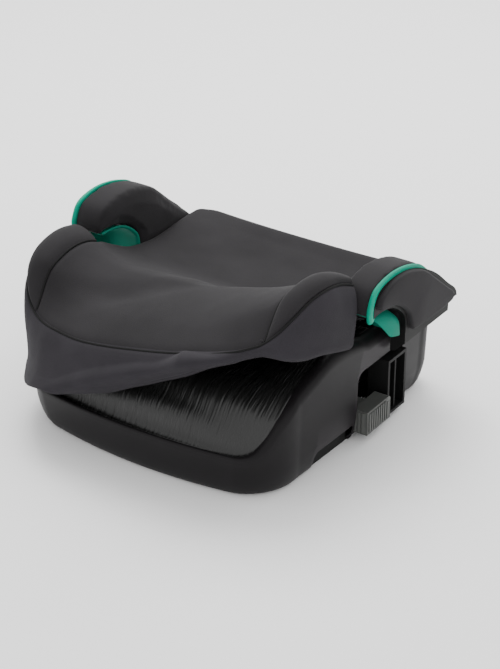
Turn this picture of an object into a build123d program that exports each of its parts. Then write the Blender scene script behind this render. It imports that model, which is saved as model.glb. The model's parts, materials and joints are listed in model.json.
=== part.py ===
from build123d import *
import math
import os

# Backless booster seat with rigid anchor connectors.  Millimetres, +Z up, +Y rear,
# +X the seat's left.  Origin: middle of the underside, on the floor plane.

# ---- driving dimensions -------------------------------------------------------------
BASE_HALF_W = 181.0          # lower shell half width at the floor
BASE_FRONT = 188.0           # front of the lower shell at the floor
BASE_REAR = 188.0            # rear of the lower shell at the floor
LEDGE_Z = 55.0               # height of the ledge the cover hem hooks behind
WALL = 4.0                   # shell wall
PAN_DEPTH = 2.6              # textured pan let into the shell
PAN_GAP = 0.3
COVER_GAP = 3.0              # cover underside above the shell
COVER_HALF_W = 183.0
COVER_FRONT = 184.0
COVER_REAR = 193.0
ARM_IN = 172.0               # inner face of an armrest
ARM_TRIM = 210.0             # inner face of the trim strip
ARM_OUT = 222.0              # outer face of an armrest
CONNECTOR_X = 140.0          # anchor connectors are 280 apart
FRAME_TRAVEL = 80.0
BAR_Z = 42.0                 # height of the anchor bar centre line
FLAP_THICK = 11.0            # padding of the part of the cover that lifts
LIFT_DEG = 21.0              # how far the cover front is lifted in the rest pose
CURL_DEG = 80.0              # how far the free hem is curled under in the rest pose
LIFT_A = (-175.0, -165.0)    # plan points of the fold the cover front lifts about
LIFT_B = (185.0, 70.0)
FOLD_Z = 150.0
CREASE_A = (-125.0, -184.0, 57.0)    # ends of the line the free hem curls under about
CREASE_B = (178.0, -184.0, 116.0)
TUCK_Z = 120.0               # the left side's skirt is tucked up under the cover below this

# seat heights along Y: the hard shell in the middle and at its rim, the fitted cover
# in the middle and on its bolsters
SHELL_MID = [(-205, 50), (-190, 54), (-184, 58), (-177, 72), (-168, 85), (-155, 96), (-130, 105),
             (-100, 109), (0, 109), (100, 112), (160, 121), (185, 129), (205, 131)]
SHELL_RIM = [(-205, 50), (-190, 54), (-180, 60), (-165, 74), (-150, 93), (-130, 113), (-110, 127), (-90, 138),
             (-60, 152), (-40, 156), (-25, 150), (0, 136), (25, 130), (100, 129), (205, 130)]
COVER_MID = [(-205, 100), (-188, 107), (-175, 114), (-160, 121), (-135, 127), (-100, 129), (-50, 127),
             (0, 125), (60, 126), (120, 131), (160, 138), (185, 144), (205, 144)]
COVER_RIM = [(-205, 96), (-188, 110), (-175, 122), (-160, 142), (-142, 166), (-126, 183), (-105, 193),
             (-82, 198), (-59, 197), (-38, 190), (-21, 178), (9, 162), (30, 152), (56, 147), (90, 144),
             (144, 148), (185, 148), (205, 146)]
GRID_X = [-205, -182, -165, -140, -95, -40, 0, 40, 95, 140, 165, 182, 205]
GRID_Y = [-205, -190, -182, -172, -158, -138, -110, -75, -40, -5, 30, 75, 125, 175, 205]

# closed jaw profile (y, z)
JAW_OUTLINE = [(156, 47), (154.5, 53), (157, 58.5), (164, 60), (172, 57), (186, 50), (188, 38), (183, 37),
               (181, 45.5), (168, 47)]

# armrest side profile (y, z)
HORN = [(-22, 184), (-21, 198), (-9, 216), (21, 223.5), (51, 222), (78, 215), (111, 200), (140, 180),
        (166, 158), (184, 141), (187, 133)]
HORN_UNDER = [(58, 133), (57, 146), (54, 157), (45, 167), (31, 177), (14, 183), (-8, 185)]

os.makedirs("parts", exist_ok=True)


def table(points, t):
    """Smooth height from a table of (position, height) pairs."""
    if t <= points[0][0]:
        return points[0][1]
    for i in range(len(points) - 1):
        (x0, y0), (x1, y1) = points[i], points[i + 1]
        if t <= x1:
            before = points[max(i - 1, 0)]
            after = points[min(i + 2, len(points) - 1)]
            m0 = (y1 - before[1]) / (x1 - before[0]) * (x1 - x0)
            m1 = (after[1] - y0) / (after[0] - x0) * (x1 - x0)
            u = (t - x0) / (x1 - x0)
            return ((2 * u**3 - 3 * u**2 + 1) * y0 + (u**3 - 2 * u**2 + u) * m0
                    + (3 * u**2 - 2 * u**3) * y1 + (u**3 - u**2) * m1)
    return points[-1][1]


def shell_top(x, y):
    rim = min(abs(x) / 178, 1.0) ** 6
    return table(SHELL_MID, y) * (1 - rim) + table(SHELL_RIM, y) * rim


def cover_top(x, y):
    a = abs(x)
    rim = min(a / 170, 1.0) ** 2.4
    roll = max(a - 172, 0) ** 2 * 0.12
    return table(COVER_MID, y) * (1 - rim) + table(COVER_RIM, y) * rim - roll


def cover_bottom(x, y):
    return max(shell_top(x, y) + COVER_GAP, cover_top(x, y) - FLAP_THICK)


def under(height, offset=0.0):
    """Everything below a height surface."""
    reach = GRID_X[-1] + abs(offset) / 5
    xs = [-reach] + GRID_X[1:-1] + [reach]
    ys = [-reach] + GRID_Y[1:-1] + [reach]
    points = [[Vector(x, y, height(x, y) + offset) for y in ys] for x in xs]
    face = Face.make_surface_from_array_of_points(points)
    return Solid.extrude(face, Vector(0, 0, -400 - offset))


def outline(w, front, rear, z):
    """Closed plan outline: bulged front, wide front corners, tighter rear corners."""
    half = [(w - 47, 13 - front), (w - 16.5, 40 - front), (w - 4, 80 - front), (w, 15), (w - 1.5, rear - 38),
            (w - 9, rear - 10), (w - 38, rear)]
    right = [Vector(x, y, z) for x, y in half]
    left = [Vector(-p.X, p.Y, z) for p in reversed(right)]
    loop = right + left
    edges = [Edge.make_three_point_arc(loop[i], loop[i + 1], loop[i + 2]) for i in (0, 2, 4)]
    edges.append(Edge.make_line(loop[6], loop[7]))
    edges += [Edge.make_three_point_arc(loop[i], loop[i + 1], loop[i + 2]) for i in (7, 9, 11)]
    edges.append(Edge.make_three_point_arc(loop[13], Vector(0, -front, z), loop[0]))
    return Wire(edges)


def tower(sections):
    """Solid lofted through (half width, front, rear, z) outlines."""
    return Solid.make_loft([outline(w, front, rear, z) for w, front, rear, z in sections])


def block(x0, x1, y0, y1, z0, z1):
    return Pos((x0 + x1) / 2, (y0 + y1) / 2, (z0 + z1) / 2) * Box(x1 - x0, y1 - y0, z1 - z0)


def side_block(side, near, far, y0, y1, z0, z1):
    """A block on one side of the seat (+1 or -1), between two distances from the middle."""
    return block(min(side * near, side * far), max(side * near, side * far), y0, y1, z0, z1)


def side_plate(lines, x0, x1):
    """Solid between two X planes from (y, z) lines joined end to end; more than two points make a spline."""
    edges = []
    for line in lines:
        points = [Vector(x0, y, z) for y, z in line]
        edges.append(Edge.make_spline(points) if len(points) > 2 else Edge.make_line(*points))
    count = len(edges)
    for i in range(count):
        end = edges[i] @ 1
        start = edges[(i + 1) % count] @ 0
        if (end - start).length > 0.01:
            edges.append(Edge.make_line(end, start))
    face = Face(Wire.combine(edges)[0])
    return Solid.extrude(face, Vector(x1 - x0, 0, 0))


def mirrored(shape):
    return mirror(shape, about=Plane.YZ)


def save(shape, name):
    shape.label = name
    export_step(shape, "parts/" + name + ".step")


def shifted(points, distance):
    """An open (y, z) line moved to its right-hand side by a distance."""
    out = []
    for i, (y, z) in enumerate(points):
        a = points[max(i - 1, 0)]
        b = points[min(i + 1, len(points) - 1)]
        length = math.hypot(b[0] - a[0], b[1] - a[1])
        out.append((y + (b[1] - a[1]) / length * distance, z - (b[0] - a[0]) / length * distance))
    return out


# ---- base shell, pan and tray -------------------------------------------------------
shell_under = under(shell_top)
outer_low = tower([(BASE_HALF_W, BASE_FRONT, BASE_REAR, 0), (188, 194, 191, LEDGE_Z - 5)])
outer_high = tower([(182, 186, 190, LEDGE_Z - 5), (189, 194, 193, 165)])
shell_body = (outer_low + outer_high) & shell_under
inner_w = BASE_HALF_W - WALL
inside = tower([(inner_w, BASE_FRONT - WALL, BASE_REAR - WALL, -1), (inner_w, 182, 186, 60), (184, 189, 188, 160)])
inside = inside & under(shell_top, -7)
pan_floor = under(shell_top, -PAN_DEPTH)
pan_zone = tower([(158, 200, 200, 62 + PAN_GAP), (158, 200, 200, 260)])
pan_zone = pan_zone - block(-300, 300, 150, 300, -50, 320)
pan_recess = tower([(158 + PAN_GAP, 201, 200, 62), (158 + PAN_GAP, 201, 200, 260)])
pan_recess = pan_recess - block(-300, 300, 150 + PAN_GAP, 300, -50, 320) - pan_floor
base_shell = shell_body - inside - pan_recess
seat_pan = (shell_under & pan_zone) - pan_floor
for side in (-1, 1):
    hand_notch = side_block(side, 160, 260, -78, 6, -1, 25)
    base_shell -= hand_notch
    button_wall = side_block(side, 161, 184, 2, 111, 26, 96) & outer_high
    base_shell += button_wall
    button_pocket = side_block(side, 164, 260, 5, 108, -1, 92)
    base_shell -= button_pocket
    plunger_slot = side_block(side, 160, 165, 19.5, 40.5, 28.5, 39.5)
    base_shell -= plunger_slot
    connector_mouth = side_block(side, CONNECTOR_X - 18, CONNECTOR_X + 18, 150, 260, BAR_Z - 22, BAR_Z + 22)
    base_shell -= connector_mouth
    armrest_seat = side_block(side, 165, 260, 57, 300, 131.5, 200)
    base_shell -= armrest_seat
    for y in (-120, -40):
        rib = side_block(side, 100, 172, y, y + 4, 60, 160) & inside
        base_shell += rib
save(seat_pan, "seat_pan")

tray = tower([(172, 179, 179, 0), (172, 179, 179, 4)])
tray_rim = tower([(172, 179, 179, 4), (172, 179, 179, 22)])
tray_rim = tray_rim - tower([(169, 176, 176, 3.9), (169, 176, 176, 23)])
tray_rim = tray_rim - block(-300, 300, 140, 300, 3, 30)
for side in (-1, 1):
    tray_rim = tray_rim - side_block(side, 150, 300, 2, 112, 3, 30)
tray = tray + tray_rim
tray_screw_spots = [(x, y) for x in (-108, 108) for y in (-130, 0, 120)]
for x, y in tray_screw_spots:
    tray -= Pos(x, y, 2) * Cylinder(3.1, 8)
feet_spots = [(x, y) for x in (-145, 145) for y in (-140, 140)]
for x, y in feet_spots:
    tray -= Pos(x, y, 0.6) * Cylinder(11, 1.4)
save(tray, "base_tray")
save(Compound(children=[Pos(x, y, 0.55) * Cylinder(10.9, 1.1) for x, y in feet_spots]), "rubber_feet")
bosses = []
screws = []
for x, y in tray_screw_spots:
    boss_top = shell_top(x, y) - 6
    bosses.append(Pos(x, y, (boss_top + 4.1) / 2) * Cylinder(6, boss_top - 4.1))
    screws.append(Pos(x, y, 2.4) * Cylinder(3.0, 3.2) + Pos(x, y, 9) * Cylinder(2.0, 14))
for boss in bosses:
    base_shell += boss
for x, y in tray_screw_spots:
    base_shell -= Pos(x, y, 9) * Cylinder(2.05, 16)
save(base_shell, "base_shell")
save(Compound(children=screws), "tray_screws")

# ---- armrests -----------------------------------------------------------------------
pads = side_plate([HORN, HORN_UNDER], ARM_IN, ARM_TRIM)
pad_crest = shifted(HORN, 9)[1:-2] + [(176, 129)]
pad_arch = [(66, 129)] + shifted(HORN_UNDER, 3)[1:]
inner_pad = pads - side_plate([pad_crest, pad_arch], ARM_IN + 9, ARM_TRIM + 1)
core_crest = shifted(HORN, 9.3)[1:-2] + [(175.6, 129)]
core_arch = [(66.4, 129)] + shifted(HORN_UNDER, 3.3)[1:]
core = side_plate([core_crest, core_arch], ARM_IN + 9.2, ARM_TRIM)
core = core - block(150, 250, 0, 200, 100, 133.1)
trim = side_plate([shifted(HORN, -1.5), list(reversed(shifted(HORN, 6)))], ARM_TRIM, ARM_TRIM + 6)
outer_pad = side_plate([shifted(HORN, 1.0), HORN_UNDER], ARM_TRIM + 6.1, ARM_OUT)
behind_trim = side_plate([shifted(HORN, 6.2), HORN_UNDER], ARM_TRIM, ARM_TRIM + 6)
root = block(190.5, ARM_TRIM, 68, 172, 98, 136)
root_corner = [e for e in root.edges().filter_by(Axis.Y) if e.center().X > 200 and e.center().Z < 100]
root = root.chamfer(14, None, root_corner)
guide_upper = shifted(HORN_UNDER, -0.3)
guide_lower = list(reversed(shifted(HORN_UNDER, -3.3)))
belt_guide = side_plate([guide_upper, guide_lower], ARM_IN + 4, ARM_OUT - 3)
flange_edge = [(-12, 178), (-14, 160), (6, 146), (40, 143)]
flange = side_plate([shifted(HORN_UNDER, -3.2)[2:], flange_edge], ARM_OUT - 6, ARM_OUT - 3)
belt_guide = belt_guide + flange
arm_pieces = {"armrest_inner_pad": inner_pad, "armrest_core": core + behind_trim + root, "armrest_trim": trim,
              "armrest_outer_pad": outer_pad, "belt_guide": belt_guide}
for name, shape in arm_pieces.items():
    save(shape, name + "_left")
    save(mirrored(shape), name + "_right")

# ---- padded cover -------------------------------------------------------------------
fold_dir = Vector(LIFT_B[0] - LIFT_A[0], LIFT_B[1] - LIFT_A[1], 0).normalized()
fold_normal = Vector(fold_dir.Y, -fold_dir.X, 0)
fold_axis = Axis((LIFT_A[0], LIFT_A[1], FOLD_Z), (-fold_dir.X, -fold_dir.Y, 0))


def front_of_fold(distance):
    """Half space in front of the fold line, starting at a distance from it."""
    angle = math.degrees(math.atan2(fold_dir.Y, fold_dir.X))
    start = Vector(LIFT_A[0], LIFT_A[1], 0) + fold_normal * distance
    return Pos(start.X, start.Y, 0) * Rot(0, 0, angle) * Pos(0, -400, 0) * Box(1600, 800, 900)


def lifted(shape):
    return shape.rotate(fold_axis, LIFT_DEG)


cover_plan = tower([(COVER_HALF_W, COVER_FRONT, COVER_REAR, z) for z in (58, 230)])
flap_plan = tower([(COVER_HALF_W, 177, COVER_REAR, z) for z in (58, 230)])
cover = under(cover_top) & cover_plan
flap = (cover & flap_plan) - under(cover_bottom)
cover = cover - under(shell_top, COVER_GAP)
for side in (-1, 1):
    cover -= side_block(side, 170.5, 260, -28, 300, -10, 300)
    flap -= side_block(side, 170.5, 260, -42, 300, -10, 300)
middle = block(-168, 168, -300, 300, 0, 300)
rear_mid = block(-170, 170, -28, 300, 0, 300)
front_cover = lifted((flap & middle) & front_of_fold(4))
rear_cover = (cover & (middle + rear_mid)) - front_of_fold(0)
bolster_right = cover & block(-300, -168.3, -300, -28.3, 0, 300)
bolster_right = bolster_right - front_of_fold(0)
bolster_left = lifted(flap & block(168.3, 300, -300, -42.3, 0, 300))
save(front_cover, "front_cover")
save(rear_cover, "rear_cover")
save(bolster_right, "bolster_cover_right")
save(bolster_left, "bolster_cover_left")

band = tower([(195, 195.5, 190, 57), (194, 188.5, 190, 160)])
band = band - tower([(192, 192.5, 187, 56.9), (191, 185.5, 187, 160.1)])
band = band & under(cover_top, -3)
side_right = (band & block(-300, 0, -300, -36, 0, 300)) - front_of_fold(4)
side_left = band & block(150, 300, -150, -36, TUCK_Z, 300)
front_band = (band & block(-300, 300, -300, -150.3, 0, 300)) & front_of_fold(6)
crease_axis = Axis(CREASE_A, Vector(CREASE_B) - Vector(CREASE_A))
crease_angle = math.degrees(math.atan2(CREASE_B[2] - CREASE_A[2], CREASE_B[0] - CREASE_A[0]))
crease_plane = Pos(CREASE_A[0], 0, CREASE_A[2]) * Rot(0, -crease_angle, 0)
below_crease = crease_plane * Pos(0, 0, -203) * Box(1600, 900, 400)
above_crease = crease_plane * Pos(0, 0, 203) * Box(1600, 900, 400)
leaf = (front_band & below_crease) & block(-300, 110, -300, 0, 0, 300)
corner = front_band & block(168, 300, -300, 0, TUCK_Z, 300)
front_skirt = lifted(((front_band & above_crease) - block(150, 300, -300, 0, 0, 300)) + corner)
skirt_hem = lifted(leaf.rotate(crease_axis, CURL_DEG))
save(side_right, "side_skirt_right")
save(lifted(side_left), "side_skirt_left")
save(front_skirt, "front_skirt")
save(skirt_hem, "skirt_hem")
rear_skirt = tower([(190, 190, 197, 92), (190, 190, 198.5, 141)])
rear_skirt = rear_skirt - tower([(187, 187, 194, 91.9), (187, 187, 195.5, 141.1)])
rear_skirt = rear_skirt & block(-168, 168, 150, 300, 0, 300)
save(rear_skirt, "rear_skirt")

# ---- anchor connector frame ---------------------------------------------------------
tube = Pos(0, 20, BAR_Z) * Rot(0, 90, 0) * (Cylinder(8, 267.8) - Cylinder(6.4, 270))
save(tube, "cross_tube")
pins = []
for side, name in ((-1, "right"), (1, "left")):
    cx = side * CONNECTOR_X
    arm = block(cx - 6, cx + 6, -95, 120, BAR_Z - 6, BAR_Z + 6)
    arm -= block(cx - 4, cx + 4, -96, 112, BAR_Z - 4, BAR_Z + 4)
    save(arm, "connector_arm_" + name)
    guide = block(cx - 11, cx + 11, -90, 8, 4.05, BAR_Z + 10)
    guide -= block(cx - 6.08, cx + 6.08, -91, 9, BAR_Z - 6.08, BAR_Z + 6.08)
    save(guide, "slide_guide_" + name)
    housing = block(cx - 14, cx + 14, 120, 188, BAR_Z - 20, BAR_Z + 20)
    housing -= block(cx - 15, cx + 15, 168, 190, BAR_Z - 4, BAR_Z + 4)
    housing -= block(cx - 3.4, cx + 3.4, 150, 190, BAR_Z - 7, BAR_Z + 21)
    housing -= block(cx - 8.1, cx + 8.1, 123, 148, BAR_Z + 9.9, BAR_Z + 21)
    pivot = Pos(cx, 162, 53) * Rot(0, 90, 0)
    housing -= pivot * Cylinder(2.03, 26.4)
    pins.append(pivot * Cylinder(2, 26))
    save(housing, "connector_housing_" + name)
    jaw_lines = [JAW_OUTLINE[i:i + 2] for i in range(len(JAW_OUTLINE) - 1)]
    jaw = side_plate(jaw_lines, cx - 2.9, cx + 2.9) - pivot * Cylinder(2.06, 20)
    save(jaw.rotate(Axis((cx, 162, 53), (1, 0, 0)), 28), "jaw_" + name)
    save(block(cx - 7.9, cx + 7.9, 123.4, 136, BAR_Z + 10, BAR_Z + 19.5), "connector_button_" + name)
    coil = Edge.make_helix(2.65, 10.6, 3.2, center=(cx, 136.7, BAR_Z + 14.6), normal=(0, 1, 0))
    save(sweep(Plane(origin=coil @ 0, z_dir=coil % 0) * Circle(0.5), path=coil), "connector_spring_" + name)
save(Compound(children=pins), "jaw_pins")

# ---- side release buttons -----------------------------------------------------------
button_face = block(178.5, 198.5, 7, 60, 12, 43)
top_rear_edge = [e for e in button_face.edges().filter_by(Axis.X) if e.center().Y > 50 and e.center().Z > 40]
button = button_face.fillet(5, top_rear_edge)
for k in range(9):
    y = 11 + k * 5
    button += block(198, 200, y, y + 2.4, 15, 40 - max(0, k - 7) * 3)
for k in range(3):
    x = 182 + k * 5
    button += block(x, x + 2.6, 5.4, 7.5, 14, 41)
button += block(152, 178.6, 20, 40, 29, 39)
button -= Pos(178, 50, 30) * Rot(0, 90, 0) * Cylinder(5.2, 6)
button_coil = Edge.make_helix(3.08, 15.4, 3.8, center=(164.9, 50, 30), normal=(1, 0, 0))
button_spring = sweep(Plane(origin=button_coil @ 0, z_dir=button_coil % 0) * Circle(0.55), path=button_coil)
carrier = block(164.2, 192, 64, 106, 8, 84) - block(168, 193, 68, 102, 12, 80)
carrier += block(167, 189, 84, 87, 11, 81)
for name, shape in (("side_button", button), ("button_spring", button_spring), ("side_carrier", carrier)):
    save(shape, name + "_left")
    save(mirrored(shape), name + "_right")
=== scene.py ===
import json
import math

import bmesh
import bpy
from mathutils import Matrix, Vector, noise


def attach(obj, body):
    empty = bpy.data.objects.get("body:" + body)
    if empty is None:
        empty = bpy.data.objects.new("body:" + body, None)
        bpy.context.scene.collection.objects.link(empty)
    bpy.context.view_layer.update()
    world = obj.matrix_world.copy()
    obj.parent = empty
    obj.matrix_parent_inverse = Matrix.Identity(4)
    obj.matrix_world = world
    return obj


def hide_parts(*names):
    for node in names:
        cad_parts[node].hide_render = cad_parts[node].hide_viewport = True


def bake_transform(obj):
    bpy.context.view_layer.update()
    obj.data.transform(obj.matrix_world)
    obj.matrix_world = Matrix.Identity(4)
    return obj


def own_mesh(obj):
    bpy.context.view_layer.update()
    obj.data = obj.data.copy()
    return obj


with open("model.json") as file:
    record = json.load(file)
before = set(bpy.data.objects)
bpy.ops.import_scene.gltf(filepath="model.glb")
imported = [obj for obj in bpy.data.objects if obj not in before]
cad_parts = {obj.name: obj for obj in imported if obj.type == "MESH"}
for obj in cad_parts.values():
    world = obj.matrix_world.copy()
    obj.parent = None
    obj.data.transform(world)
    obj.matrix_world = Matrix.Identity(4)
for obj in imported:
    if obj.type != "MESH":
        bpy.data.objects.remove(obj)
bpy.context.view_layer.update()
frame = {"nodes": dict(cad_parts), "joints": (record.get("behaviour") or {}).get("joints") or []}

# Lengths in this script are millimetres until a mesh is made; MM turns them into metres.
MM = 0.001
SHELL_WIDE, SHELL_LONG = 181, 188      # half width and half length of the base at its foot
PAN_WIDE, PAN_REAR = 171, 178          # half width and rear edge of the seat pan
COVER_REAR = 184                       # where the cover's top turns down at the rear
ARM_IN, ARM_TRIM, ARM_OUT = 172.0, 210.0, 222.0
BAR_Z, CONNECTOR_X = 42, 140           # anchor bar's height, and each connector's distance from the middle
PANEL_THICK, BOLSTER_THICK, SKIRT_THICK, REAR_SKIRT_THICK = 7.5, 7, 3, 2.6

# ---- the fold that the cover's front lifts about ------------------------------------
lift = next(j for j in frame["joints"] if j["name"] == "cover_lift")
curl = next(j for j in frame["joints"] if j["name"] == "hem_curl")
LIFT_DEG = -lift["range_deg"][0]
CURL_DEG = -curl["range_deg"][0]
FOLD_POINT = Vector(lift["pos_m"]) / MM
FOLD_AXIS = Vector(lift["axis"]).normalized()
FOLD_NORMAL = Vector((-FOLD_AXIS.y, FOLD_AXIS.x, 0))
FOLD_BACK, FOLD_FRONT = -36.0, 26.0
HEM_LEFT = Vector((-125, -184, 57))
HEM_RIGHT = Vector((178, -184, 116))


def smooth(a, b, t):
    """0 up to a, 1 from b on, and an S-shaped rise between them."""
    t = min(max((t - a) / (b - a), 0.0), 1.0)
    return t * t * (3 - 2 * t)


def table(points, t):
    """Smooth value from a table of (position, value) pairs."""
    if t <= points[0][0]:
        return points[0][1]
    for i in range(len(points) - 1):
        (x0, y0), (x1, y1) = points[i], points[i + 1]
        if t <= x1:
            before = points[max(i - 1, 0)]
            after = points[min(i + 2, len(points) - 1)]
            m0 = (y1 - before[1]) / (x1 - before[0]) * (x1 - x0)
            m1 = (after[1] - y0) / (after[0] - x0) * (x1 - x0)
            u = (t - x0) / (x1 - x0)
            return ((2 * u**3 - 3 * u**2 + 1) * y0 + (u**3 - 2 * u**2 + u) * m0
                    + (3 * u**2 - 2 * u**3) * y1 + (u**3 - u**2) * m1)
    return points[-1][1]


def turned(p, point, axis, degrees):
    """A point turned about the axis through another point."""
    return Matrix.Rotation(math.radians(degrees), 3, axis) @ (p - point) + point


def front_seam_y(x):
    """Where the seam between the cover's top and its front skirt runs."""
    return -173 + 22 * (min(abs(x), 168) / 168) ** 3.4


def pulled(p):
    """The lifted cover is pulled tight between its bolsters, and its held corner is drawn down."""
    side = min(abs(p.x + 10) / 172, 1.0)
    middle = 1 - (smooth(0, 1, side) if p.x < -10 else side**2.6)
    ahead = min(max((-52 - p.y) / 120, 0.0), 1.0)
    taut = 50 * middle * smooth(60, -52, p.y) * (1 - ahead**1.25)
    corner = smooth(55, 168, p.x) * (1 - smooth(0, 75, p.y - front_seam_y(p.x)))
    return p + Vector((-9 * corner, 0, taut - 10 * corner))


def lifted(p):
    """A point of the fitted cover, moved to where it is with the cover's front lifted."""
    across = (p - FOLD_POINT).dot(FOLD_NORMAL)
    return turned(pulled(p), FOLD_POINT, FOLD_AXIS, LIFT_DEG * smooth(FOLD_BACK, FOLD_FRONT, across))


# The line that the front skirt's hem folds about.
CREASE_AXIS = (HEM_RIGHT - HEM_LEFT).normalized()


# ---- heights: (y, z) pairs from front to rear ----------------------------------------
PAN_MID = [(-200, 40), (-190, 44), (-184, 50), (-178, 60), (-170, 75), (-156, 93), (-130, 107), (-100, 112),
           (0, 111), (100, 112), (160, 120), (185, 127), (205, 129)]
RIM_Z = [(-200, 52), (-178, 60), (-166, 72), (-150, 88), (-135, 103), (-120, 114), (-105, 121), (-85, 128),
         (-50, 139), (-20, 139), (10, 134), (30, 129), (205, 129)]
COVER_MID = [(-205, 100), (-188, 107), (-175, 114), (-160, 121), (-135, 127), (-100, 129), (-50, 127),
             (0, 125), (60, 126), (120, 131), (160, 138), (185, 144), (205, 144)]
COVER_RIM = [(-205, 96), (-188, 110), (-175, 122), (-160, 142), (-142, 166), (-126, 183), (-105, 193),
             (-82, 198), (-59, 197), (-38, 190), (-21, 180), (9, 163), (30, 153), (56, 147), (90, 144),
             (144, 148), (185, 148), (205, 146)]


def cover_top(x, y):
    """Height of the fitted cover's top."""
    rim = min(abs(x) / 170, 1.0) ** 2.4
    return table(COVER_MID, y) * (1 - rim) + table(COVER_RIM, y) * rim


# ---- meshes -------------------------------------------------------------------------
def link(name, bm, smooth_faces=True):
    """An object in the scene from a bmesh, which is freed."""
    mesh = bpy.data.meshes.new(name)
    for face in bm.faces:
        face.smooth = smooth_faces
    bm.to_mesh(mesh)
    bm.free()
    obj = bpy.data.objects.new(name, mesh)
    bpy.context.scene.collection.objects.link(obj)
    return obj


def grid(name, rows, loop=False, flip=False):
    """Quad mesh from rows of points in millimetres; loop joins each row's end to its start."""
    bm = bmesh.new()
    made = [[bm.verts.new(Vector(p) * MM) for p in row] for row in rows]
    count = len(rows[0])
    for a, b in zip(made, made[1:]):
        for j in range(count if loop else count - 1):
            k = (j + 1) % count
            corners = [a[j], a[k], b[k], b[j]]
            bm.faces.new(reversed(corners) if flip else corners)
    return link(name, bm)


def outward(obj, middle=(0, 0, 0.06)):
    """Turns the mesh's faces outward, if most of them point in."""
    middle = Vector(middle)
    score = sum(p.normal.dot(p.center - middle) * p.area for p in obj.data.polygons)
    if score < 0:
        obj.data.flip_normals()


def sharpen(obj, degrees=38):
    """Marks edges sharper than an angle, so that they don't shade round."""
    bm = bmesh.new()
    bm.from_mesh(obj.data)
    limit = math.radians(degrees)
    for edge in bm.edges:
        edge.smooth = len(edge.link_faces) == 2 and edge.calc_face_angle(0) < limit
    bm.to_mesh(obj.data)
    bm.free()


def thicken(obj, millimetres, offset=-1):
    """Gives a surface a thickness, by default behind its faces."""
    mod = obj.modifiers.new("thickness", "SOLIDIFY")
    mod.thickness = millimetres * MM
    mod.offset = offset
    mod.use_even_offset = False
    return mod


def subdivide(obj, levels=1):
    """Smooths a piece by subdivision."""
    mod = obj.modifiers.new("subdivision", "SUBSURF")
    mod.levels = levels
    mod.render_levels = levels


def apply_modifiers(obj):
    """Makes the mesh what its modifiers show, and removes them."""
    depsgraph = bpy.context.evaluated_depsgraph_get()
    mesh = bpy.data.meshes.new_from_object(obj.evaluated_get(depsgraph))
    obj.modifiers.clear()
    old = obj.data
    obj.data = mesh
    bpy.data.meshes.remove(old)


# ---- materials ----------------------------------------------------------------------
def new_material(name, color, roughness):
    """A material with its nodes, links and shader."""
    mat = bpy.data.materials.new(name)
    mat.use_nodes = True
    shader = mat.node_tree.nodes["Principled BSDF"]
    shader.inputs["Roughness"].default_value = roughness
    shader.inputs["Base Color"].default_value = (*color, 1)
    return mat, mat.node_tree.nodes, mat.node_tree.links, shader


def noise_node(nodes, links, coords, scale, detail=3.0, stretch=None):
    """Procedural noise, on request drawn out along an axis."""
    node = nodes.new("ShaderNodeTexNoise")
    node.inputs["Scale"].default_value = scale
    node.inputs["Detail"].default_value = detail
    source = coords
    if stretch:
        mapping = nodes.new("ShaderNodeMapping")
        mapping.inputs["Scale"].default_value = stretch
        links.new(coords, mapping.inputs["Vector"])
        source = mapping.outputs["Vector"]
    links.new(source, node.inputs["Vector"])
    return node


def mix_color(nodes, links, factor, low, high):
    """A color between two, by a factor that is mostly near one half."""
    ramp = nodes.new("ShaderNodeValToRGB")
    ramp.color_ramp.elements[0].position = 0.3
    ramp.color_ramp.elements[1].position = 0.7
    ramp.color_ramp.elements[0].color = (*low, 1)
    ramp.color_ramp.elements[1].color = (*high, 1)
    links.new(factor, ramp.inputs["Fac"])
    return ramp.outputs["Color"]


def scaled(color, factor):
    """A lighter or darker color."""
    return tuple(c * factor for c in color)


def bump(nodes, links, height, strength, distance, normal=None):
    """Surface relief from a height, on top of another relief if one is given."""
    node = nodes.new("ShaderNodeBump")
    node.inputs["Strength"].default_value = strength
    node.inputs["Distance"].default_value = distance
    links.new(height, node.inputs["Height"])
    if normal:
        links.new(normal, node.inputs["Normal"])
    return node.outputs["Normal"]


def fabric(name, color, sheen=0.22):
    """Fine knit: close loops, faint heather, a soft slow unevenness and a sheen."""
    mat, nodes, links, shader = new_material(name, color, 0.82)
    coords = nodes.new("ShaderNodeTexCoord").outputs["Object"]
    heather = noise_node(nodes, links, coords, 900, 2)
    slow = noise_node(nodes, links, coords, 14, 3)
    blend = nodes.new("ShaderNodeMath")
    blend.operation = "MULTIPLY_ADD"
    blend.inputs[1].default_value = 0.45
    links.new(heather.outputs["Fac"], blend.inputs[0])
    links.new(slow.outputs["Fac"], blend.inputs[2])
    offset = nodes.new("ShaderNodeMath")
    offset.operation = "SUBTRACT"
    offset.inputs[1].default_value = 0.22
    links.new(blend.outputs[0], offset.inputs[0])
    links.new(mix_color(nodes, links, offset.outputs[0], scaled(color, 0.84), scaled(color, 1.18)),
              shader.inputs["Base Color"])
    loops = nodes.new("ShaderNodeTexVoronoi")
    loops.inputs["Scale"].default_value = 1150
    stretch = nodes.new("ShaderNodeMapping")
    stretch.inputs["Scale"].default_value = (1.0, 0.62, 1.0)
    links.new(coords, stretch.inputs["Vector"])
    links.new(stretch.outputs["Vector"], loops.inputs["Vector"])
    knit = bump(nodes, links, loops.outputs["Distance"], 0.35, 0.0004)
    links.new(bump(nodes, links, slow.outputs["Fac"], 0.12, 0.003, knit), shader.inputs["Normal"])
    shader.inputs["Sheen Weight"].default_value = sheen
    shader.inputs["Sheen Roughness"].default_value = 0.45
    shader.inputs["Specular IOR Level"].default_value = 0.16
    return mat


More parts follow.
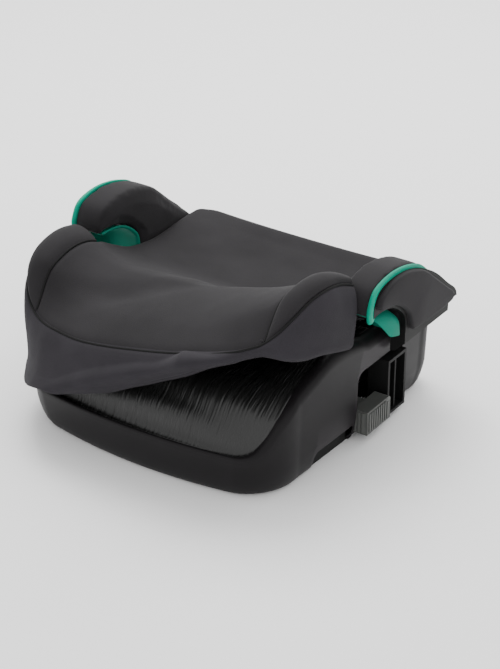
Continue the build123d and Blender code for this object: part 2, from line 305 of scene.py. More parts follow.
def moulded(name, color, roughness=0.5, grain=0.12, wear=1.6, specular=0.45):
    """Moulded plastic: fine spark texture, slight unevenness, and edges painted lighter by a factor: a
    little rubbing, and where the factor is large a painted highlight.
    """
    mat, nodes, links, shader = new_material(name, color, roughness)
    coords = nodes.new("ShaderNodeTexCoord").outputs["Object"]
    fine = noise_node(nodes, links, coords, 1700, 4)
    slow = noise_node(nodes, links, coords, 22, 4)
    body = mix_color(nodes, links, slow.outputs["Fac"], scaled(color, 0.9), scaled(color, 1.12))
    # Edges found by pointiness get a lighter colour: partly rubbing, partly a painted highlight along rims.
    geometry = nodes.new("ShaderNodeNewGeometry")
    edge = nodes.new("ShaderNodeMapRange")
    edge.inputs["From Min"].default_value = 0.53
    edge.inputs["From Max"].default_value = 0.62
    links.new(geometry.outputs["Pointiness"], edge.inputs["Value"])
    mix = nodes.new("ShaderNodeMix")
    mix.data_type = "RGBA"
    mix.inputs["B"].default_value = (*scaled(color, wear), 1)
    links.new(edge.outputs["Result"], mix.inputs["Factor"])
    links.new(body, mix.inputs["A"])
    links.new(mix.outputs["Result"], shader.inputs["Base Color"])
    rough = nodes.new("ShaderNodeMapRange")
    rough.inputs["To Min"].default_value = roughness - 0.06
    rough.inputs["To Max"].default_value = roughness + 0.08
    links.new(slow.outputs["Fac"], rough.inputs["Value"])
    links.new(rough.outputs["Result"], shader.inputs["Roughness"])
    links.new(bump(nodes, links, fine.outputs["Fac"], grain, 0.0003), shader.inputs["Normal"])
    shader.inputs["Specular IOR Level"].default_value = specular
    return mat


def ridged(mat, scale, distance):
    """Adds fine irregular ridges running front to back to a material."""
    nodes, links = mat.node_tree.nodes, mat.node_tree.links
    shader = nodes["Principled BSDF"]
    coords = nodes.new("ShaderNodeTexCoord").outputs["Object"]
    lines = noise_node(nodes, links, coords, 1, 2, (scale, scale * 0.04, scale * 0.04))
    before = shader.inputs["Normal"].links[0].from_socket
    links.new(bump(nodes, links, lines.outputs["Fac"], 0.9, distance, before), shader.inputs["Normal"])


def metal(name, color, roughness=0.35):
    """Drawn metal: faint lines running front to back."""
    mat, nodes, links, shader = new_material(name, color, roughness)
    coords = nodes.new("ShaderNodeTexCoord").outputs["Object"]
    drawn = noise_node(nodes, links, coords, 300, 3, (1, 0.05, 1))
    links.new(mix_color(nodes, links, drawn.outputs["Fac"], scaled(color, 0.8), scaled(color, 1.1)),
              shader.inputs["Base Color"])
    links.new(bump(nodes, links, drawn.outputs["Fac"], 0.15, 0.0003), shader.inputs["Normal"])
    shader.inputs["Metallic"].default_value = 1.0
    return mat


COVER_CLOTH = fabric("cover_cloth", (0.0165, 0.0153, 0.0168), 0.04)
# The skirts are the same cloth as the top, coloured lighter: a painted lightening for the less light their
# steep faces catch.
SKIRT_CLOTH_PAINTED_LIGHTER = fabric("skirt_cloth", (0.0225, 0.0204, 0.0243), 0.02)
# The shell's edges are made three times lighter: a painted highlight along its rim.
SHELL = moulded("shell_plastic", (0.0072, 0.0064, 0.0071), 0.42, wear=3.0, specular=0.14)
PAN = moulded("pan_plastic", (0.0075, 0.0077, 0.0075), 0.36, 0.3, specular=0.5)
ridged(PAN, 300, 0.0022)
BLACK = moulded("inner_plastic", (0.0055, 0.0055, 0.0055), 0.55, specular=0.15)
GREY = moulded("button_plastic", (0.052, 0.054, 0.051), 0.5)
GREEN = moulded("green_trim", (0.0, 0.25, 0.16), 0.45, 0.05, 1.1, 0.12)
GREEN_GUIDE = moulded("green_guide", (0.0, 0.15, 0.1), 0.55, 0.05, 1.1, 0.06)
RUBBER = moulded("rubber", (0.02, 0.02, 0.02), 0.75, 0.2, 1.2, 0.3)
STEEL = metal("zinc_steel", (0.55, 0.55, 0.56))


def finish(obj, mat):
    """Gives a piece its material."""
    obj.data.materials.clear()
    obj.data.materials.append(mat)
    return obj


# ---- base shell ---------------------------------------------------------------------
def arc(a, b, c, count):
    """Points along the circle through three plan points, without the last."""
    ax, ay, bx, by, cx, cy = *a, *b, *c
    aa, bb, cc = ax * ax + ay * ay, bx * bx + by * by, cx * cx + cy * cy
    d = 2 * (ax * (by - cy) + bx * (cy - ay) + cx * (ay - by))
    middle_x = (aa * (by - cy) + bb * (cy - ay) + cc * (ay - by)) / d
    middle_y = (aa * (cx - bx) + bb * (ax - cx) + cc * (bx - ax)) / d
    radius = math.dist((middle_x, middle_y), a)
    start = math.atan2(ay - middle_y, ax - middle_x)
    sweep = (math.atan2(cy - middle_y, cx - middle_x) - start + math.pi) % (2 * math.pi) - math.pi
    angles = [start + sweep * i / count for i in range(count)]
    return [(middle_x + radius * math.cos(turn), middle_y + radius * math.sin(turn)) for turn in angles]


def outline(w, front, rear):
    """Closed plan outline of the base, counter-clockwise from the middle of the front."""
    half = arc((0, -front), ((w - 47) / 2, 3.3 - front), (w - 47, 13 - front), 40)
    half += arc((w - 47, 13 - front), (w - 14.5, 38 - front), (w - 4, 80 - front), 34)
    half += arc((w - 4, 80 - front), (w, 15), (w - 1.5, rear - 38), 50)
    half += arc((w - 1.5, rear - 38), (w - 9, rear - 10), (w - 38, rear), 22)
    half += [((w - 38) * (1 - i / 24), rear) for i in range(25)]
    return half + [(-x, y) for x, y in reversed(half[1:-1])]


# Plan outlines of the base, each grown a step more than the one before.
RING_START, RING_STEP = -40, 4
RINGS = [outline(SHELL_WIDE + g, SHELL_LONG + g, SHELL_LONG + g) for g in range(RING_START, 13, RING_STEP)]
FOOT_RING = RINGS[-RING_START // RING_STEP]
WALL_OUT = 3.4                         # how far the wall's lower part stands out from the foot outline
FOOT_ROUND = [(12, 0), (9.6, 1.2), (7.4, 4), (5, 9), (3, 16), (1.4, 24), (0, 34)]
WALL_FOOT_Z, LIP_Z = 38, 56


def shell_section(index):
    """Points up the outside of the shell, over its lip or rim and down inside it."""
    y0 = FOOT_RING[index][1]
    side = 1.0
    if y0 < 100:
        side = smooth(-177, -140, y0)
    crest = LIP_Z * (1 - side) + table(RIM_Z, y0) * side
    radius = 3.4 * (1 - side) + 15 * side if y0 < 100 else 8.0
    points = [(WALL_OUT - d, z) for d, z in FOOT_ROUND]
    top = crest - radius
    for k in (1, 2, 3):
        points.append((WALL_OUT + 2.2 * k / 3, WALL_FOOT_Z + (top - WALL_FOOT_Z) * k / 3))
    edge = points[-1][0]
    for k in range(1, 9):
        a = math.pi / 2 * k / 8
        points.append((edge - radius * (1 - math.cos(a)), top + radius * math.sin(a)))
    crown = points[-1][0]
    width = 1.8 * (1 - side) + 3 * side
    drop = 8 * (1 - side) + 9 * side
    inside = crown - width * 1.25
    points += [(crown - width * 0.6, crest - 0.4), (crown - width, crest - 2.2), (inside, crest - drop),
               (inside - 7, crest - drop - 6), (inside - 8, crest - drop - 14)]
    result = []
    for grow, z in points:
        place = (grow - RING_START) / RING_STEP
        low = min(int(place), len(RINGS) - 2)
        a, b = RINGS[low][index], RINGS[low + 1][index]
        t = place - low
        result.append((a[0] + (b[0] - a[0]) * t, a[1] + (b[1] - a[1]) * t, z))
    return result


sections = [shell_section(i) for i in range(len(FOOT_RING))]
rows = list(zip(*sections))
shell = grid("base_shell_skin", rows, loop=True)
outward(shell)
sharpen(shell, 50)
thicken(shell, 2.2)
finish(shell, SHELL)
# Openings on each side, as spans of x, y and z and the radius of the upper corners.
HAND_NOTCH = ((150, 210), (-78, 5), (-6, 25), 8)
BUTTON_POCKET = ((160, 210), (5.5, 108), (-7, 92), 12)
CONNECTOR_MOUTH = ((122, 158), (150, 230), (20, 64), 4)
cutter_bm = bmesh.new()
for side in (-1, 1):
    for xs, ys, zs, radius in (HAND_NOTCH, BUTTON_POCKET, CONNECTOR_MOUTH):
        made = bmesh.ops.create_cube(cutter_bm, size=1)["verts"]
        for v in made:
            v.co = Vector((side * (xs[0] if v.co.x < 0 else xs[1]), ys[0] if v.co.y < 0 else ys[1],
                           zs[0] if v.co.z < 0 else zs[1])) * MM
        along_wall = 0 if ys[0] > 100 else 1
        corners = {e for v in made for e in v.link_edges
                   if all(w.co.z > zs[1] * MM * 0.9 for w in e.verts)
                   and abs(e.verts[0].co[along_wall] - e.verts[1].co[along_wall]) < 1e-6}
        bmesh.ops.bevel(cutter_bm, geom=list(corners), offset=radius * MM, segments=6, affect="EDGES",
                        profile=0.5)
bmesh.ops.recalc_face_normals(cutter_bm, faces=cutter_bm.faces)
cutter = link("shell_cutter", cutter_bm, False)
cut = shell.modifiers.new("openings", "BOOLEAN")
cut.operation = "DIFFERENCE"
cut.solver = "EXACT"
cut.use_self = True
cut.object = cutter
apply_modifiers(shell)
bpy.data.objects.remove(cutter)
sharpen(shell, 36)
round_edges = shell.modifiers.new("rounded_edges", "BEVEL")
round_edges.width = 0.7 * MM
round_edges.segments = 2
round_edges.limit_method = "ANGLE"
round_edges.angle_limit = math.radians(50)
round_edges.harden_normals = False
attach(shell, "base")
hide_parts("base_shell")

# ---- seat pan: fine irregular ridges running up the slope ----------------------------
PAN_COLUMNS, PAN_ROWS = 520, 150


def pan_front(x):
    """Front edge of the pan, just inside the shell's lip and rim."""
    line = RINGS[-RING_START // RING_STEP - 1]
    for (x0, y0), (x1, y1) in zip(line, line[1:]):
        if x0 <= abs(x) < x1:
            return y0 + (y1 - y0) * (abs(x) - x0) / (x1 - x0) - 1.5
    return 0.0


def pan_point(u, v):
    """Point of the pan at shares u of its width and v of its length."""
    x = -PAN_WIDE + 2 * PAN_WIDE * u
    front = pan_front(x)
    y = front + (PAN_REAR - front) * v
    share = smooth(-177, -140, y)
    edge_z = 51 * (1 - share) + (table(RIM_Z, y) - 4.5) * share
    distance = min((PAN_WIDE - abs(x)) * 0.8, y - front)
    side_reach = 20 + 45 * smooth(-172, -140, y)
    inner = smooth(0, side_reach, distance) if y < 60 else 1.0
    z = edge_z * (1 - inner) + table(PAN_MID, y) * inner
    flow = noise.noise(Vector((x * 0.012, y * 0.012, 3))) * 7
    ridge = abs(noise.noise(Vector(((x + flow) * 0.3, y * 0.025, 7))))
    ridge += 0.6 * abs(noise.noise(Vector(((x + flow) * 0.7, y * 0.04, 1))))
    return Vector((x, y, z - 3 * (1 - smooth(0, 3, distance)) + 1.5 * ridge * smooth(0, 16, distance)))


rows = []
for j in range(PAN_ROWS + 1):
    rows.append([pan_point(i / PAN_COLUMNS, (j / PAN_ROWS) ** 1.5) for i in range(PAN_COLUMNS + 1)])
pan = grid("seat_pan_skin", rows)
finish(pan, PAN)
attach(pan, "base")
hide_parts("seat_pan")

# ---- cover --------------------------------------------------------------------------
# Shapes are made as fitted, then moved to the lifted, curled pose.  Edges roll into the seams.
# The skirt's top seam and hem, as fitted, from the middle of the front to the left side's end.
SKIRT_TOP = [(0, -173, 114), (45, -172.6, 114.6), (90, -170.2, 118), (130, -164, 126.5),
             (152, -157.5, 134.5), (167, -151, 142), (180, -143, 153), (190, -129, 168), (196, -110, 182),
             (199, -88, 189), (200, -62, 192), (199, -34, 189)]
SKIRT_HEM = [(0, -195.5, 57), (46, -195, 57), (92, -192.5, 57), (130, -187.5, 57), (152, -178.5, 57),
             (169, -167, 57), (182, -152, 56.5), (190, -133, 56), (195, -112, 55), (198, -88, 54),
             (200, -62, 53), (201, -34, 52.5)]
# How far the skirt stands out, from its top seam (0) to its hem (1).
SKIRT_OUT = [(-0.1, 0), (0, 0), (0.04, 2.4), (0.1, 4.6), (0.2, 5.6), (0.35, 4), (0.5, 0.8), (0.72, -2.8),
             (0.9, -1.4), (1, 0), (1.1, 0)]


def along(points, t):
    """Point at t (0 to 1) of a smooth line through evenly numbered points."""
    place = t * (len(points) - 1)
    i = min(int(place), len(points) - 2)
    u = place - i
    p0 = points[max(i - 1, 0)]
    p1, p2 = points[i], points[i + 1]
    p3 = points[min(i + 2, len(points) - 1)]
    return Vector([0.5 * (2 * b + (c - a) * u + (2 * a - 5 * b + 4 * c - d) * u * u
                          + (3 * b - a - 3 * c + d) * u**3) for a, b, c, d in zip(p0, p1, p2, p3)])


def widened(x):
    """The right side stands a little farther out, where the pull on the left corner drags it."""
    return x * (1 + 0.03 * smooth(125, 195, x))


def both_sides(points):
    """The half outline from the middle to the left, continued over the right side."""
    return [(-widened(x), y, z) for x, y, z in reversed(points[1:])] + list(points)


TOP_LINE = both_sides(SKIRT_TOP)
HEM_LINE = both_sides(SKIRT_HEM)
TIP = 5 / 11                           # where the bolster begins along SKIRT_TOP
RIGHT_CUT, LEFT_CUT = 7.2 / 22, 14.9 / 22     # where the skirt's three pieces meet along TOP_LINE
TUCK_Z = 121                           # height that the left skirt's hem is folded up at
PANEL_HALF = 166.8                     # half width of the central panel, ahead of its wider rear
PANEL_ROWS, PANEL_COLUMNS = 130, 120
SKIRT_ROWS = 52


def unevenness(p, seed, size=0.8):
    """Slow small bumps, so that cloth and padding don't look machined."""
    q = Vector((p[0] * 0.016, p[1] * 0.016, p[2] * 0.016 + seed))
    return size * noise.noise(q) + size * 0.45 * noise.noise(q * 2.6)


def seam_height(x):
    """Height of the front seam."""
    return 114 + 27.5 * (min(abs(x), 168) / 168) ** 3


def panel_edge_x(y):
    """Half width of the central panel."""
    return PANEL_HALF + 3.6 * smooth(-34, -20, y)


def panel_height(x, y):
    """Height of the central panel, which comes down to the front seam."""
    front = front_seam_y(x)
    return cover_top(x, y) - (cover_top(x, front) - seam_height(x)) * (1 - smooth(0, 34, y - front))


def seam_roll(distance, depth=3.4, reach=8.0):
    """How far padding sinks at this distance from a seam."""
    return depth * (1 - min(max(distance, 0) / reach, 1.0)) ** 2.3


def eased(t, share=0.1):
    """Spacing that puts more rows near both ends."""
    return t - share * math.sin(2 * math.pi * t)


def rear_edge(x):
    """Where the cover turns down at the rear, rounded at the corners."""
    return COVER_REAR - 10 * smooth(140, 172, abs(x)) ** 1.4


def central_panel():
    """Rows of the central panel, from the front seam over the top and round the rear edge."""
    rows = []
    for j in range(PANEL_ROWS + 1):
        v = eased(j / PANEL_ROWS)
        row = []
        for i in range(PANEL_COLUMNS + 1):
            u = eased(i / PANEL_COLUMNS) * 2 - 1
            front = front_seam_y(u * 167)
            y = front + (rear_edge(u * 170) - front) * v
            x = u * panel_edge_x(y)
            edge = min(panel_edge_x(y) - abs(x), y - front)
            z = panel_height(x, y) + unevenness((x, y, 0), 1) * min(edge / 25, 1)
            row.append(lifted(Vector((x, y, z - seam_roll(edge)))))
        row.insert(0, row[0] + Vector((1.5, 0, -7)))
        row.append(row[-1] + Vector((-1.5, 0, -7)))
        rows.append(row)
    for k in range(1, 9):
        a = math.pi / 2 * k / 8
        row = []
        for i in range(PANEL_COLUMNS + 1):
            u = eased(i / PANEL_COLUMNS) * 2 - 1
            x = u * panel_edge_x(COVER_REAR)
            z = panel_height(x, COVER_REAR) - seam_roll(panel_edge_x(COVER_REAR) - abs(x))
            row.append(Vector((x, rear_edge(x) + 13 * math.sin(a), z - 12 * (1 - math.cos(a)))))
        row.insert(0, row[0] + Vector((1.5, 0, -7)))
        row.append(row[-1] + Vector((-1.5, 0, -7)))
        rows.append(row)
    return rows


def rear_panel():
    """Rows of the rear skirt, from the cover's edge down."""
    rows = []
    for j in range(25):
        t = j / 24
        row = []
        for i in range(61):
            x = (i / 60 * 2 - 1) * 169
            top = panel_height(x, COVER_REAR) - 15
            z = top + (93 - top) * t
            y = rear_edge(x) + 12.2 + 1.6 * math.sin(math.pi * min(t * 1.6, 1)) - seam_roll(t * 45, 2.2, 6)
            row.append(Vector((x, y + unevenness((x, 0, z), 5, 0.5), z)))
        rows.append(row)
    return rows


def bolster(side):
    """Rows across a side bolster, from the panel's seam to the skirt's seam."""
    rows = []
    for j in range(81):
        u = j / 80
        low = along(SKIRT_TOP, TIP + (1 - TIP) * u)
        y = low.y
        if side < 0:
            low.x = widened(low.x)
        high = Vector((panel_edge_x(-80), y, panel_height(PANEL_HALF, y)))
        bulge = (12 if side > 0 else 14) * smooth(0, 0.4, u)
        width = max((low - high).length, 0.5)
        row = []
        for i in range(25):
            v = eased(i / 24, 0.09)
            p = high.lerp(low, v)
            swell = bulge * (1 - (2 * v - 1) ** 2) ** 0.72
            out = Vector((0.25 + 0.45 * v, -0.1, 1)).normalized()
            roll = seam_roll(min(v, 1 - v) * width, 2.8, 6) * min(width / 8, 1)
            p = p + out * (swell - roll + unevenness(p, 9, 0.5) * min(v, 1 - v))
            row.append(lifted(Vector((side * p.x, p.y, p.z))))
        row.insert(0, row[0] + Vector((side * 2, 0, -7)))
        row.append(row[-1] + Vector((-side * 5, 0, -5)))
        rows.append(row)
    return rows


def skirt_point(place, t):
    """Point of the fitted skirt at a place along it and a share of its height, and the way on."""
    top = along(TOP_LINE, place)
    hem = along(HEM_LINE, place)
    ahead = along(HEM_LINE, min(place + 0.004, 1)) - along(HEM_LINE, max(place - 0.004, 0))
    out = Vector((ahead.y, -ahead.x, 0)).normalized()
    height = top.z - hem.z
    swell = table(SKIRT_OUT, t) * (0.5 + 0.5 * smooth(60, 130, height))
    p = top.lerp(hem, t)
    return p + out * (swell - seam_roll(t * height, 2.6, 6) + unevenness(p, 4, 0.9) * min(t * 4, 1)), ahead


def crease_height(top):
    """Height that the lifted skirt folds up at, below a point of its top seam."""
    line = HEM_LEFT.z + (top.x - HEM_LEFT.x) * CREASE_AXIS.z / CREASE_AXIS.x
    line += 11 * smooth(25, 90, top.x) + 6 * smooth(-120, -50, top.x) * (1 - smooth(0, 60, top.x))
    return min(line + 4 * smooth(-130, -90, top.x) + 9 * smooth(15, 115, top.x), top.z - 4)


def skirt_rows(start, end, columns, curls=False):
    """Rows of the skirt from its top seam to its hem between two places along its outline."""
    rows = [[] for j in range(SKIRT_ROWS)]
    for i in range(columns):
        place = start + (end - start) * i / (columns - 1)
        top, hem = along(TOP_LINE, place), along(HEM_LINE, place)
        height = top.z - hem.z
        # Towards the left the fold leaves the front's straight line and follows the outline,
        # and the cloth below the fold gets shorter.
        blend = smooth(LEFT_CUT, LEFT_CUT + 0.2, place)
        local = smooth(LEFT_CUT - 0.12, LEFT_CUT - 0.01, place)
        level = crease_height(top) * (1 - blend) + TUCK_Z * blend
        reach = 1 - smooth(LEFT_CUT - 0.13, LEFT_CUT - 0.02, place) * (level - 14 - hem.z) / height
        for j in range(SKIRT_ROWS):
            t = eased(j / (SKIRT_ROWS - 1), 0.06) * reach
            p, ahead = skirt_point(place, t)
            ending = (reach - t) * height
            out = Vector((ahead.y, -ahead.x, 0)).normalized()
            p += out * (0.9 * smooth(13, 11, ending) - 1.4 * (1 - min(ending / 2.2, 1)) ** 2)
            if curls:
                axis = CREASE_AXIS.lerp(ahead.normalized(), local).normalized()
                edge = skirt_point(place, (top.z - level) / height)[0]
                near = Vector((edge.x, edge.y, level)) - out * 7
                far = HEM_LEFT + CREASE_AXIS * ((p.x - HEM_LEFT.x) / CREASE_AXIS.x)
                tight = smooth(60, 110, top.x)
                angle = CURL_DEG * (1 + 0.4 * blend) * smooth(4 * tight - 9, 12 - 5 * tight, level - p.z)
                p = turned(p, far.lerp(near, local), axis, angle * smooth(-135, -115, p.x))
            rows[j].append(lifted(p))
    # A last row inside the seam, so that no gap shows beside the cover's top.
    tucked = []
    for i in range(columns):
        place = start + (end - start) * i / (columns - 1)
        p = lifted(along(TOP_LINE, place) - Vector((0, 0, 7)))
        tucked.append(p.lerp(Vector((p.x * 0.93, p.y * 0.93, p.z)), 0.5))
    return [tucked] + rows


def cloth_piece(name, rows, thickness, mat, levels=1):
    """A thick piece from its outer rows: subdivided, or with its sharp edges marked."""
    obj = grid(name, rows)
    outward(obj)
    thicken(obj, thickness)
    apply_modifiers(obj)
    if levels:
        subdivide(obj, levels)
    else:
        sharpen(obj, 55)
    finish(obj, mat)
    return obj


def cord_along(name, points, radius, mat, up=(0, 0, 1)):
    """A thin sewn cord lying along a seam."""
    rows = []
    for i, p in enumerate(points):
        ahead = (points[min(i + 1, len(points) - 1)] - points[max(i - 1, 0)]).normalized()
        side = ahead.cross(Vector(up)).normalized()
        top = side.cross(ahead)
        angles = [k * math.pi / 4 for k in range(8)]
        rows.append([p + side * radius * math.cos(a) + top * radius * math.sin(a) for a in angles])
    return finish(grid(name, rows, loop=True), mat)


panel = cloth_piece("cover_panel", central_panel(), PANEL_THICK, COVER_CLOTH)
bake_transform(panel)
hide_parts("front_cover", "rear_cover")

rear = cloth_piece("cover_rear_skirt", rear_panel(), REAR_SKIRT_THICK, SKIRT_CLOTH_PAINTED_LIGHTER)
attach(rear, "base")
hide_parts("rear_skirt")

bolster_left = cloth_piece("cover_bolster_left", bolster(1), BOLSTER_THICK, COVER_CLOTH)
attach(bolster_left, "cover_front")
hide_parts("bolster_cover_left")
bolster_right = cloth_piece("cover_bolster_right", bolster(-1), BOLSTER_THICK, COVER_CLOTH)
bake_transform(bolster_right)
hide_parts("bolster_cover_right")

rows = skirt_rows(0, RIGHT_CUT, 130)
skirt_right = cloth_piece("cover_skirt_right", rows, SKIRT_THICK, SKIRT_CLOTH_PAINTED_LIGHTER, 0)
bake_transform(skirt_right)
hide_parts("side_skirt_right")
rows = skirt_rows(RIGHT_CUT, LEFT_CUT, 200, curls=True)
skirt_front = cloth_piece("cover_skirt_front", rows, SKIRT_THICK, SKIRT_CLOTH_PAINTED_LIGHTER, 0)
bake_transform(skirt_front)
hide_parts("front_skirt", "skirt_hem")
rows = skirt_rows(LEFT_CUT, 1, 130, curls=True)
skirt_left = cloth_piece("cover_skirt_left", rows, SKIRT_THICK, SKIRT_CLOTH_PAINTED_LIGHTER, 0)
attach(skirt_left, "cover_front")
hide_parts("side_skirt_left")

SEAM = fabric("seam_cord", (0.008, 0.008, 0.008), 0.0)
outer_seam = [lifted(along(TOP_LINE, i / 300) - Vector((0, 0, 1.6))) for i in range(301)]
inner_seams = {}
for side, name in ((1, "left"), (-1, "right")):
    path = []
    for y in range(-149, -33, 2):
        path.append(lifted(Vector((side * panel_edge_x(y), y, panel_height(PANEL_HALF, y) - 1.8))))
    inner_seams[name] = path
for name, path in (("outer", outer_seam), ("left", inner_seams["left"]), ("right", inner_seams["right"])):
    seam_line = cord_along("cover_seam_" + name, path, 1.5, SEAM)
    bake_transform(seam_line)

# ---- armrests -----------------------------------------------------------------------
# Side outlines as (y, z): the pads' upper line and underside, and the outer pad's closed outline.
PAD = [(-22, 184), (-21, 198), (-9, 216), (21, 223.5), (51, 222), (78, 215), (94, 207.5), (111, 194),
       (140, 169), (160, 152), (172, 141.5), (174, 135), (167, 131.3)]
PAD_UNDER = [(58, 131), (57, 146), (54, 157), (45, 167), (31, 177), (14, 183), (-8, 185)]
SLAB = [(-12, 197), (-4, 208), (20, 216.5), (49, 216), (74, 209.5), (94, 200), (112, 186), (132, 170),
        (150, 155.5), (161, 147), (165, 141), (163, 135.5), (156, 133), (130, 132.5), (96, 132.5),
        (72, 133.5), (65, 138), (62, 148), (57, 160), (46, 171.5), (31, 181.5), (12, 188), (-6, 190.5)]


def smooth_line(points, count):
    """Evenly numbered points of the smooth line through a few points."""
    return [tuple(along(points, i / (count - 1))) for i in range(count)]


def pad_solid(name, x0, x1, inset, edge):
    """A closed pad with the armrest's side profile and rounded edges."""
    loop = smooth_line(PAD, 46) + smooth_line(PAD_UNDER, 26)
    bm = bmesh.new()
    low = [bm.verts.new((x0 * MM, y * MM, z * MM)) for y, z in loop]
    high = [bm.verts.new((x1 * MM, y * MM, z * MM)) for y, z in loop]
    bm.faces.new(low)
    bm.faces.new(reversed(high))
    count = len(loop)
    for i in range(count):
        k = (i + 1) % count
        bm.faces.new((low[k], low[i], high[i], high[k]))
    bmesh.ops.recalc_face_normals(bm, faces=bm.faces)
    obj = link(name, bm)
    remesh = obj.modifiers.new("remesh", "REMESH")
    remesh.mode = "VOXEL"
    remesh.voxel_size = 2.6 * MM
    soft = obj.modifiers.new("soften", "SMOOTH")
    soft.factor = 0.5
    soft.iterations = edge
    apply_modifiers(obj)
    for v in obj.data.vertices:
        v.co -= v.normal * inset * MM
    return obj


def pad_slab(name, x0, x1):
    """The thin outer pad: rounded edges and a slightly domed face, lower than the trim's crest."""
    loop = smooth_line(SLAB + SLAB[:1], 150)[:-1]
    count = len(loop)
    normals = []
    for i in range(count):
        a, b = loop[i - 2], loop[(i + 2) % count]
        length = math.dist(a, b)
        normals.append(((b[1] - a[1]) / length, -(b[0] - a[0]) / length))
    rings = [(x0, 0.4), (x0 + 1, 0), (x1 - 2.4, 0), (x1 - 1.3, 0.4), (x1 - 0.5, 1.1), (x1, 1.9),
             (x1 + 0.3, 2.7)]
    rows = [[Vector((x, y + n[0] * d, z + n[1] * d)) for (y, z), n in zip(loop, normals)] for x, d in rings]
    obj = grid(name, rows, loop=True)
    bm = bmesh.new()
    bm.from_mesh(obj.data)
    bmesh.ops.holes_fill(bm, edges=[e for e in bm.edges if e.is_boundary], sides=0)
    bmesh.ops.triangulate(bm, faces=[f for f in bm.faces if len(f.verts) > 4])
    bmesh.ops.recalc_face_normals(bm, faces=bm.faces)
    for face in bm.faces:
        face.smooth = True
    bm.to_mesh(obj.data)
    bm.free()
    sharpen(obj, 60)
    return obj


def inflate(obj, pressure=4.0, cap=3.5):
    """A short cloth run under inner pressure; no point moves farther than the cap."""
    start = [v.co.copy() for v in obj.data.vertices]
    cloth = obj.modifiers.new("Cloth", "CLOTH")
    settings = cloth.settings
    settings.quality = 4
    settings.mass = 0.3
    settings.use_pressure = True
    settings.uniform_pressure_force = pressure
    settings.tension_stiffness = 30
    settings.compression_stiffness = 30
    settings.shear_stiffness = 15
    settings.bending_stiffness = 2
    settings.effector_weights.gravity = 0
    cloth.collision_settings.use_collision = False
    scene = bpy.context.scene
    scene.frame_start, scene.frame_end = 1, 20
    cloth.point_cache.frame_start, cloth.point_cache.frame_end = 1, 20
    for f in range(1, 21):
        scene.frame_set(f)
    depsgraph = bpy.context.evaluated_depsgraph_get()
    result = [v.co.copy() for v in obj.evaluated_get(depsgraph).data.vertices]
    obj.modifiers.remove(cloth)
    scene.frame_set(1)
    for v, a, b in zip(obj.data.vertices, start, result):
        move = b - a
        if move.length > cap * MM:
            move = move * (cap * MM / move.length)
        v.co = a + move


def trim_strip(name):
    """Rounded green strip along the armrest's crest, thinning towards the rear."""
    line = smooth_line([(-20, 178)] + PAD[:-2], 120)
    rows = []
    for i, (y, z) in enumerate(line):
        a = line[max(i - 1, 0)]
        b = line[min(i + 1, len(line) - 1)]
        length = math.dist(a, b)
        out = Vector((0, -(b[1] - a[1]) / length, (b[0] - a[0]) / length))
        size = 1 - 0.62 * smooth(0.1, 0.62, i / 119)
        cap = 0.35 if i in (0, 119) else 1
        middle = Vector((212.5, y, z)) - out * (1.8 + 1.2 * (1 - size))
        row = []
        for k in range(20):
            across, rise = math.cos(k * math.pi / 10), math.sin(k * math.pi / 10)
            rise *= 3.4 * size * cap if rise > 0 else 9 * cap
            row.append(middle + Vector((3.3 * size * cap * across, 0, 0)) + out * rise)
        rows.append(row)
    obj = grid(name, rows, loop=True)
    outward(obj, (0.213, 0.06, 0.15))
    return obj


def guide_dish(name):
    """Green belt guide: a dished lining under the armrest's arch, closed on its outer side."""
    line = smooth_line([(-16, 184.6)] + list(reversed(PAD_UNDER)), 60)
    rows = []
    for y, z in line:
        inward = Vector((0, 18 - y, 146 - z))
        room = inward.length
        inward.normalize()
        section = [(172.6, -1.0), (172.4, 1.2), (174, 2.6), (180, 3.0), (194, 3.6), (205, 5.6), (212, 9.5),
                   (216, 0.42 * room), (217.5, 0.7 * room), (218, 0.96 * room)]
        rows.append([Vector((x, y, z)) + inward * d for x, d in smooth_line(section, 36)])
    obj = grid(name, rows)
    thicken(obj, 1.6, 0)
    apply_modifiers(obj)
    return obj


def mirror_mesh(obj, name):
    """A copy of a piece on the other side."""
    copy = bpy.data.objects.new(name, obj.data.copy())
    bpy.context.scene.collection.objects.link(copy)
    for v in copy.data.vertices:
        v.co.x = -v.co.x
    copy.data.flip_normals()
    for mod in obj.modifiers:
        if mod.type == "SUBSURF":
            subdivide(copy, mod.levels)
    return copy


inner_pad = pad_solid("armrest_pad_inner_left", ARM_IN, ARM_TRIM + 1, 0.8, 20)
outer_pad = pad_slab("armrest_pad_outer_left", ARM_TRIM - 1, ARM_OUT)
inflate(inner_pad)
trim = trim_strip("armrest_trim_strip_left")
guide = guide_dish("belt_guide_dish_left")
for obj, mat, slot_name, node in ((guide, GREEN_GUIDE, "green_guide", "belt_guide"),
                                  (inner_pad, COVER_CLOTH, "cover_fabric", "armrest_inner_pad"),
                                  (outer_pad, COVER_CLOTH, "cover_fabric", "armrest_outer_pad"),
                                  (trim, GREEN, "green_trim", "armrest_trim")):
    if obj is inner_pad:
        subdivide(obj)
    other = mirror_mesh(obj, obj.name.replace("left", "right"))
    for each, side in ((obj, "left"), (other, "right")):
        finish(each, mat)
        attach(each, "base")
        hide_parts(node + "_" + side)


# ---- springs ------------------------------------------------------------------------
def coil(name, start, direction, pitch, length, radius, wire):
    """A wound wire spring from a start point along x or y."""
    direction = Vector(direction)
    side = Vector((0, 0, 1))
    turns = length / pitch
    middle = []
    for i in range(int(turns * 28) + 1):
        a = 2 * math.pi * i / 28
        middle.append(Vector(start) + direction * (pitch * i / 28) + side * radius * math.cos(a)
                      + direction.cross(side) * radius * math.sin(a))
    return cord_along(name, middle, wire, STEEL, direction)


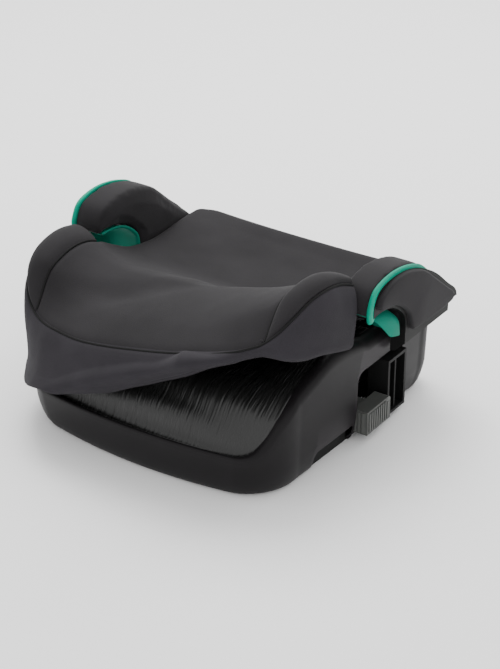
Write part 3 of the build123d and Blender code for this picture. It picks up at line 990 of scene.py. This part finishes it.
for side, name in ((1, "left"), (-1, "right")):
    start = (side * CONNECTOR_X, 136.7, BAR_Z + 14.6)
    spring = coil("connector_spring_coil_" + name, start, (0, 1, 0), 2.65, 10.6, 3.2, 0.5)
    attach(spring, "connector_frame")
    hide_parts("connector_spring_" + name)
    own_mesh(spring)
    spring = coil("button_spring_coil_" + name, (side * 164.9, 50, 30), (side, 0, 0), 3.08, 15.4, 3.8, 0.55)
    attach(spring, "base")
    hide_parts("button_spring_" + name)
    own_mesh(spring)

# ---- pieces kept from the frame -----------------------------------------------------
KEPT = {"armrest_core": BLACK, "base_tray": BLACK, "rubber_feet": RUBBER, "tray_screws": STEEL,
        "cross_tube": STEEL, "connector_arm": STEEL, "slide_guide": BLACK, "connector_housing": BLACK,
        "jaw": STEEL, "jaw_pins": STEEL, "connector_button": GREEN, "side_button": GREY,
        "side_carrier": BLACK}
NO_BEVEL = ("cross_tube", "jaw_pins", "tray_screws")
for node_name, node in frame["nodes"].items():
    base_name = node_name.replace("_left", "").replace("_right", "")
    if base_name not in KEPT:
        continue
    node.data.materials.clear()
    node.data.materials.append(KEPT[base_name])
    if base_name not in NO_BEVEL:
        rounded = node.modifiers.new("rounded_edges", "BEVEL")
        rounded.width = 0.6 * MM
        rounded.segments = 2
        rounded.limit_method = "ANGLE"
        rounded.angle_limit = math.radians(35)

# ---- floor, light and camera --------------------------------------------------------
bm = bmesh.new()
bmesh.ops.create_grid(bm, x_segments=1, y_segments=1, size=9)
floor = link("floor", bm, False)
floor.data.materials.append(new_material("floor", (0.93, 0.93, 0.93), 0.8)[0])

world = bpy.data.worlds.new("studio")
bpy.context.scene.world = world
world.use_nodes = True
world.node_tree.nodes["Background"].inputs["Color"].default_value = (1, 1, 1, 1)
world.node_tree.nodes["Background"].inputs["Strength"].default_value = 1.35


def area_light(name, place, target, size, power):
    """A square soft light at a place in metres, facing a target."""
    lamp = bpy.data.lights.new(name, "AREA")
    lamp.size = size
    lamp.energy = power
    obj = bpy.data.objects.new(name, lamp)
    obj.location = place
    obj.rotation_euler = (Vector(target) - Vector(place)).to_track_quat("-Z", "Y").to_euler()
    bpy.context.scene.collection.objects.link(obj)


area_light("key", (-0.8, 0.9, 2.3), (0, 0, 0.1), 1.5, 58)
area_light("fill", (1.9, -1.6, 1.5), (0, 0, 0.1), 1.6, 3)
area_light("rear", (0.3, 2.0, 1.6), (0, 0, 0.15), 1.2, 18)

camera = bpy.data.objects.new("camera", bpy.data.cameras.new("camera"))
camera.data.sensor_width = 36
camera.data.lens = 100.914
# The camera's own axes, and its place, in metres.
right = Vector((0.82496, 0.56519, 0))
up = Vector((-0.26943, 0.39327, 0.87906))
back = Vector((0.49683, -0.72519, 0.47671))
place = Matrix.Translation((1.15149, -1.62765, 1.17164))
camera.matrix_world = place @ Matrix((right, up, back)).transposed().to_4x4()
camera.data.clip_end = 60
bpy.context.scene.collection.objects.link(camera)
bpy.context.scene.camera = camera

bpy.context.view_layer.update()
